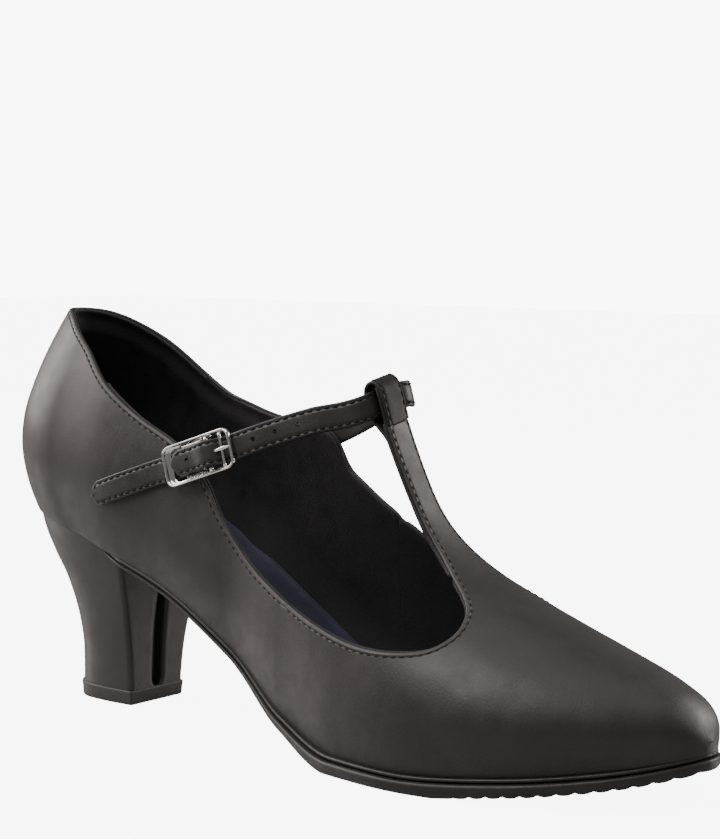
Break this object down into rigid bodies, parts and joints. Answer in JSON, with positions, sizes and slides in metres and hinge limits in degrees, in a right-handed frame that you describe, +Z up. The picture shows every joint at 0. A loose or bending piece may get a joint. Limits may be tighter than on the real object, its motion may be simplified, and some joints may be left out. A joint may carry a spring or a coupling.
{
  "type": "t-strap tap dance shoe",
  "caption": "Low-cut dance shoe for the right foot with a moulded heel, a T-strap ending in a loop and a buckled ankle strap with a quick-release hook.",
  "frame": {"origin": "centre of the heel tip's underside, on the floor", "axes": "+X forward to the toe, +Y to the wearer's left (the inner side of this right shoe), +Z up"},
  "size_m": [0.2483, 0.0789, 0.1261],
  "materials": {
    "upper_leather": "smooth, soft satin sheen",
    "lining": "soft matt lining",
    "sock": "smooth, satin",
    "stiffener": "resin-stiffened cloth",
    "insole_board": "dense fibre board",
    "foam": "soft padding",
    "filler": "pressed cork and fibre",
    "sole": "moulded, satin",
    "heel": "moulded, covered look, satin",
    "heel_tip": "matt",
    "nickel": "polished nickel",
    "steel": "plain"
  },
  "bodies": {
    "shoe": {"upper": "upper_leather", "medial_quarter": "upper_leather", "ankle_strap_medial": "upper_leather", "t_strap_loop": "upper_leather", "buckle_tab": "upper_leather", "quarter_lining": "lining", "vamp_lining": "lining", "t_strap_lining": "lining", "sock_lining": "sock", "heel_counter": "stiffener", "interlining": "stiffener", "toe_puff": "stiffener", "insole_board": "insole_board", "heel_pad": "foam", "bottom_filler": "filler", "outsole": "sole", "welt_strip": "sole", "heel_block": "heel", "heel_tip": "heel_tip", "shank_spring": "steel", "shank_rivets": "steel", "heel_tip_pins": "steel", "heel_nails": "steel", "heel_screw": "steel"},
    "ankle_strap": {"ankle_strap_lateral": "upper_leather", "buckle_frame": "nickel", "buckle_hook": "nickel"},
    "prong": {"buckle_prong": "nickel"},
    "tab_ring": {"tab_ring": "nickel"}
  },
  "joints": [
    {"name": "strap_swing", "type": "hinge", "parent": "shoe", "child": "ankle_strap", "pos_m": [0.10346, -0.00612, 0.10204], "axis": [-0.3723, -0.0296, 0.9276], "range_deg": [0, 75]},
    {"name": "prong_lift", "type": "hinge", "parent": "ankle_strap", "child": "prong", "pos_m": [0.06304, -0.0298, 0.08585], "axis": [0.3347, -0.0601, -0.9404], "range_deg": [0, 28]},
    {"name": "ring_tilt", "type": "hinge", "parent": "shoe", "child": "tab_ring", "pos_m": [0.05345, -0.02918, 0.0824], "axis": [-0.3347, 0.0601, 0.9404], "range_deg": [0, 8]}
  ]
}
